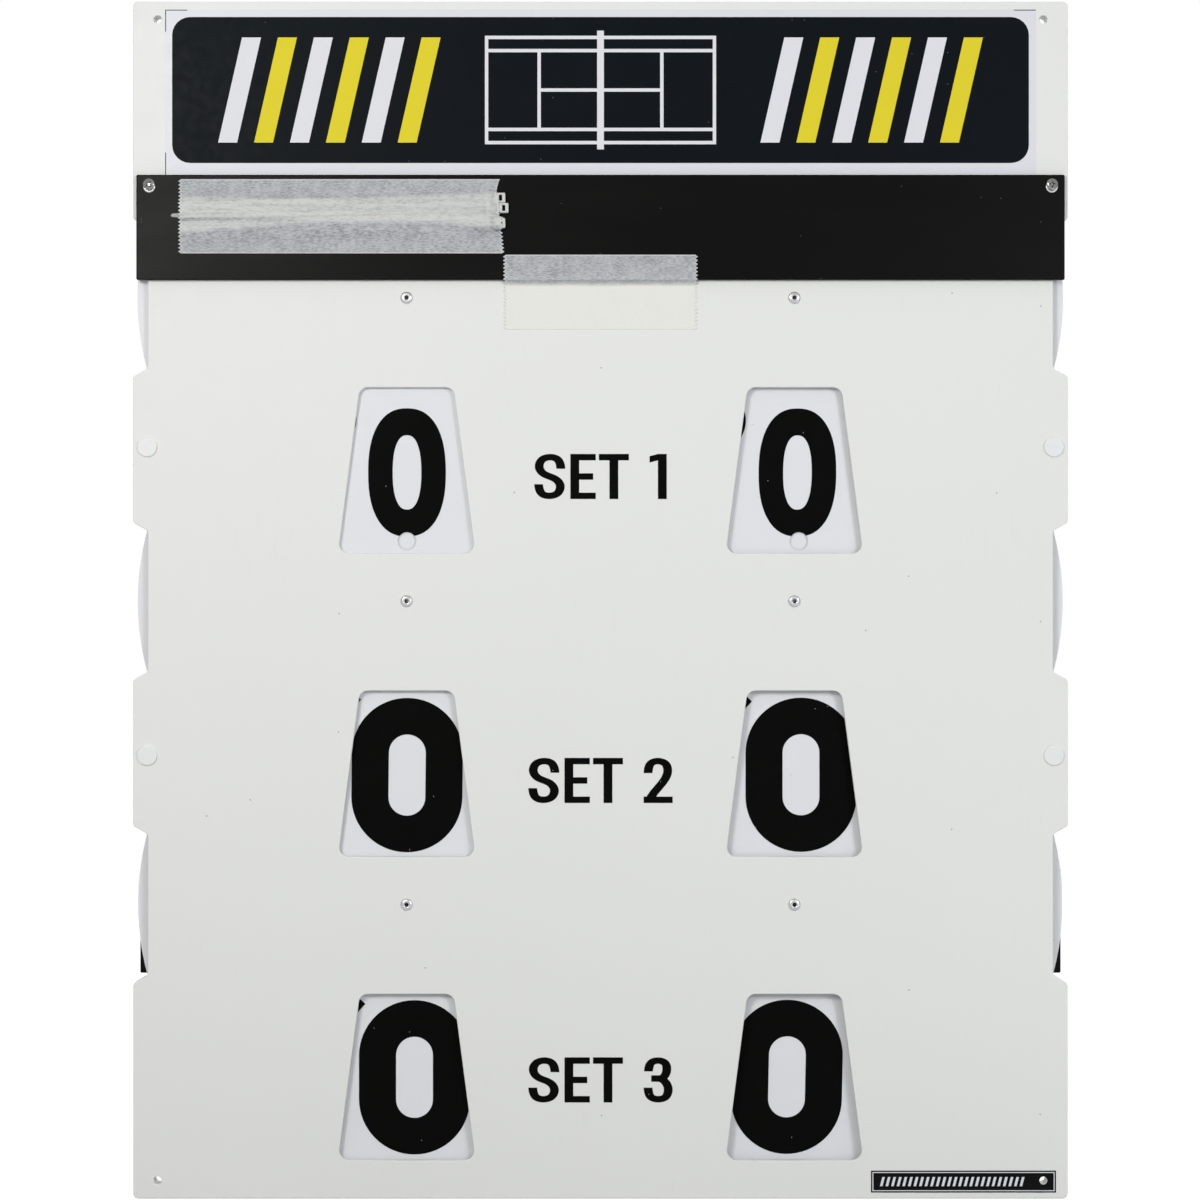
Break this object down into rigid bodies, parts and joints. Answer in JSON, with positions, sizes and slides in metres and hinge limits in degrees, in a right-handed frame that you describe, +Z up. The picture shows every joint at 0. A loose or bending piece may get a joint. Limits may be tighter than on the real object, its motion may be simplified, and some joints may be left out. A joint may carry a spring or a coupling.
{
  "type": "tennis scoreboard",
  "caption": "Flat white tennis scoreboard with number discs that turn behind trapezoid windows, finger notches at the sides, a black name strip and tie holes.",
  "frame": {"origin": "middle of the four tie holes, on the rear face of the back panel", "axes": "+X to the reader's right, +Y through the board from front to back, +Z up"},
  "size_m": [0.4686, 0.0249, 0.6],
  "materials": {
    "white_sheet": "fine satin",
    "disc_sheet": "smooth satin",
    "black_vinyl": "satin film",
    "black_sheet": "polished",
    "rivet_aluminium": "bright",
    "zinc_steel": "zinc plated",
    "white_nylon": "moulded",
    "header_film": "gloss film",
    "label_film": "satin film",
    "masking_paper": "creped",
    "tie_nylon": "moulded, slightly clear"
  },
  "bodies": {
    "board": {"front_panel": "white_sheet", "back_panel": "white_sheet", "pivot_bush_1_left": "white_nylon", "spacer_washers_1_left": "white_nylon", "pivot_rivet_1_left": "rivet_aluminium", "pivot_bush_1_right": "white_nylon", "spacer_washers_1_right": "white_nylon", "pivot_rivet_1_right": "rivet_aluminium", "pivot_bush_2_left": "white_nylon", "spacer_washers_2_left": "white_nylon", "pivot_rivet_2_left": "rivet_aluminium", "pivot_bush_2_right": "white_nylon", "spacer_washers_2_right": "white_nylon", "pivot_rivet_2_right": "rivet_aluminium", "pivot_bush_3_left": "white_nylon", "spacer_washers_3_left": "white_nylon", "pivot_rivet_3_left": "rivet_aluminium", "pivot_bush_3_right": "white_nylon", "spacer_washers_3_right": "white_nylon", "pivot_rivet_3_right": "rivet_aluminium", "backing_washers": "rivet_aluminium", "mandrel_stubs": "zinc_steel", "ear_cap_posts": "white_nylon", "ear_cap_screws": "white_nylon", "ear_spacers": "white_nylon", "tie_hole_spacers": "white_nylon", "name_strip": "black_sheet", "name_strip_screws": "zinc_steel", "name_strip_spacers": "white_nylon", "name_strip_washers": "zinc_steel", "name_strip_nuts": "zinc_steel", "rear_strip": "black_sheet", "header_sticker": "header_film", "corner_label": "label_film", "set_label_1": "black_vinyl", "set_label_2": "black_vinyl", "set_label_3": "black_vinyl", "cable_tie_upper": "tie_nylon", "cable_tie_middle": "tie_nylon", "cable_tie_lower": "tie_nylon", "masking_tape_long": "masking_paper", "masking_tape_short": "masking_paper"},
    "disc_1_left": {"score_disc_1_left": "disc_sheet", "numerals_1_left": "black_vinyl"},
    "disc_1_right": {"score_disc_1_right": "disc_sheet", "numerals_1_right": "black_vinyl"},
    "disc_2_left": {"score_disc_2_left": "disc_sheet", "numerals_2_left": "black_vinyl"},
    "disc_2_right": {"score_disc_2_right": "disc_sheet", "numerals_2_right": "black_vinyl"},
    "disc_3_left": {"score_disc_3_left": "disc_sheet", "numerals_3_left": "black_vinyl"},
    "disc_3_right": {"score_disc_3_right": "disc_sheet", "numerals_3_right": "black_vinyl"}
  },
  "joints": [
    {"name": "turn_1_left", "type": "hinge", "parent": "board", "child": "disc_1_left", "pos_m": [-0.0972, -0.00675, 0.1515], "axis": [0, 1, 0], "continuous": true},
    {"name": "turn_1_right", "type": "hinge", "parent": "board", "child": "disc_1_right", "pos_m": [0.0972, -0.00515, 0.1515], "axis": [0, 1, 0], "continuous": true},
    {"name": "turn_2_left", "type": "hinge", "parent": "board", "child": "disc_2_left", "pos_m": [-0.0972, -0.00595, -0.0006], "axis": [0, 1, 0], "continuous": true},
    {"name": "turn_2_right", "type": "hinge", "parent": "board", "child": "disc_2_right", "pos_m": [0.0972, -0.00435, -0.0006], "axis": [0, 1, 0], "continuous": true},
    {"name": "turn_3_left", "type": "hinge", "parent": "board", "child": "disc_3_left", "pos_m": [-0.0972, -0.00515, -0.1527], "axis": [0, 1, 0], "continuous": true},
    {"name": "turn_3_right", "type": "hinge", "parent": "board", "child": "disc_3_right", "pos_m": [0.0972, -0.00355, -0.1527], "axis": [0, 1, 0], "continuous": true}
  ]
}
